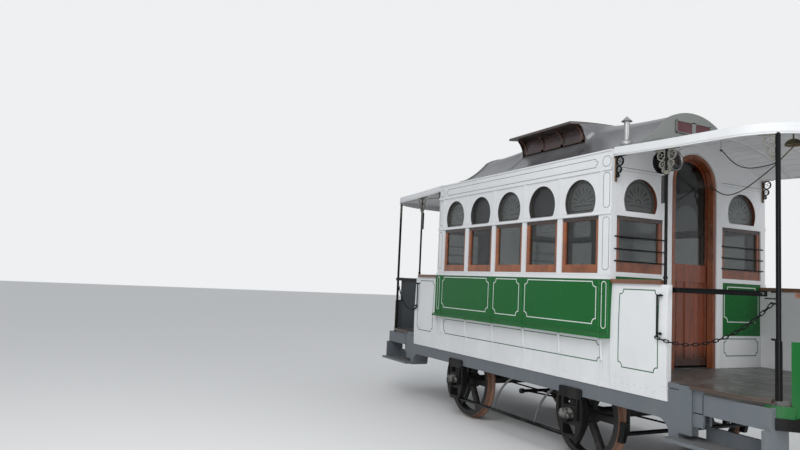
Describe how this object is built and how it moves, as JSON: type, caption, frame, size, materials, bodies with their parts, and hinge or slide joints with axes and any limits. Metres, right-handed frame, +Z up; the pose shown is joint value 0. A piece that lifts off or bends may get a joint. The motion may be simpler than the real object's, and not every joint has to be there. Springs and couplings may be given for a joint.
{
  "type": "horse-drawn tram",
  "caption": "Double-ended horse tram with a closed saloon, arched toplights, open platforms under canopies, sliding end doors, lifting gates and spoked wheelsets.",
  "frame": {"origin": "centre of the car in plan, at the lowest point of the wheel flanges", "axes": "+X along the track to the front end, +Y across the track to the left side, +Z up"},
  "size_m": [6.3182, 2.12, 3.2596],
  "materials": {
    "white_paint": "satin",
    "green_paint": "gloss",
    "grey_paint": "satin",
    "roof_canvas": "matt painted",
    "varnished_wood": "gloss varnish",
    "grey_planks": "painted, worn",
    "clear_glass": "clear",
    "etched_glass": "etched",
    "black_iron": "satin",
    "cast_wheel": "painted, rusty tread",
    "brass": "worn",
    "vent_glass": "dark red",
    "galvanised": "matt",
    "cord": "matt"
  },
  "bodies": {
    "body": {"axle_guards_left": "black_iron", "axle_guards_right": "black_iron", "bell_cord_door": "cord", "bell_cord_roof": "cord", "benches": "varnished_wood", "brake_gear": "black_iron", "bulkhead_front": "white_paint", "bulkhead_joinery_front": "varnished_wood", "bulkhead_joinery_rear": "varnished_wood", "bulkhead_panes": "etched_glass", "bulkhead_rear": "white_paint", "bulkhead_waist_panels": "green_paint", "bumpers": "black_iron", "canopy_fascia": "white_paint", "cross_bearers": "black_iron", "dash_front": "green_paint", "dash_rails": "varnished_wood", "dash_rear": "green_paint", "door_tracks": "black_iron", "entrance_chains": "black_iron", "gongs": "brass", "guard_rods": "black_iron", "hand_rails": "varnished_wood", "lamp_flues": "galvanised", "lamp_glasses": "clear_glass", "lamps": "black_iron", "monitor_deck": "roof_canvas", "monitor_lights": "vent_glass", "platform_floor_front": "grey_planks", "platform_floor_rear": "grey_planks", "platform_nosings": "varnished_wood", "platform_sides_front": "white_paint", "platform_sides_rear": "white_paint", "posts_front": "black_iron", "posts_rear": "black_iron", "rocker_panel_left": "white_paint", "rocker_panel_right": "white_paint", "roof_deck": "roof_canvas", "saloon_floor": "grey_planks", "side_frame_left": "white_paint", "side_frame_right": "white_paint", "solebars": "grey_paint", "steps_front": "grey_paint", "steps_rear": "grey_paint", "toplight_panes": "etched_glass", "waist_panel_left": "green_paint", "waist_panel_right": "green_paint", "window_panes": "clear_glass", "window_sashes": "varnished_wood"},
    "wheelset_front": {"wheelset_front": "cast_wheel"},
    "wheelset_rear": {"wheelset_rear": "cast_wheel"},
    "door_front": {"door_front": "varnished_wood", "door_glass_front": "clear_glass"},
    "door_rear": {"door_rear": "varnished_wood", "door_glass_rear": "clear_glass"},
    "gate_front_right": {"gate_front_right": "black_iron"},
    "gate_front_left": {"gate_front_left": "black_iron"},
    "gate_rear_right": {"gate_rear_right": "black_iron"},
    "gate_rear_left": {"gate_rear_left": "black_iron"}
  },
  "joints": [
    {"name": "wheelset_front_roll", "type": "hinge", "parent": "body", "child": "wheelset_front", "pos_m": [0.98, 0, 0.43], "axis": [0, 1, 0], "continuous": true},
    {"name": "wheelset_rear_roll", "type": "hinge", "parent": "body", "child": "wheelset_rear", "pos_m": [-0.98, 0, 0.43], "axis": [0, 1, 0], "continuous": true},
    {"name": "door_front_slide", "type": "slide", "parent": "body", "child": "door_front", "axis": [0, 1, 0], "range_m": [0, 0.55]},
    {"name": "door_rear_slide", "type": "slide", "parent": "body", "child": "door_rear", "axis": [0, -1, 0], "range_m": [0, 0.55]},
    {"name": "gate_front_right_lift", "type": "hinge", "parent": "body", "child": "gate_front_right", "pos_m": [1.998, -0.905, 1.565], "axis": [0, -1, 0], "range_deg": [0, 82]},
    {"name": "gate_front_left_lift", "type": "hinge", "parent": "body", "child": "gate_front_left", "pos_m": [1.998, 0.905, 1.565], "axis": [0, -1, 0], "range_deg": [0, 82]},
    {"name": "gate_rear_right_lift", "type": "hinge", "parent": "body", "child": "gate_rear_right", "pos_m": [-1.998, -0.905, 1.565], "axis": [0, 1, 0], "range_deg": [0, 82]},
    {"name": "gate_rear_left_lift", "type": "hinge", "parent": "body", "child": "gate_rear_left", "pos_m": [-1.998, 0.905, 1.565], "axis": [0, 1, 0], "range_deg": [0, 82]}
  ]
}
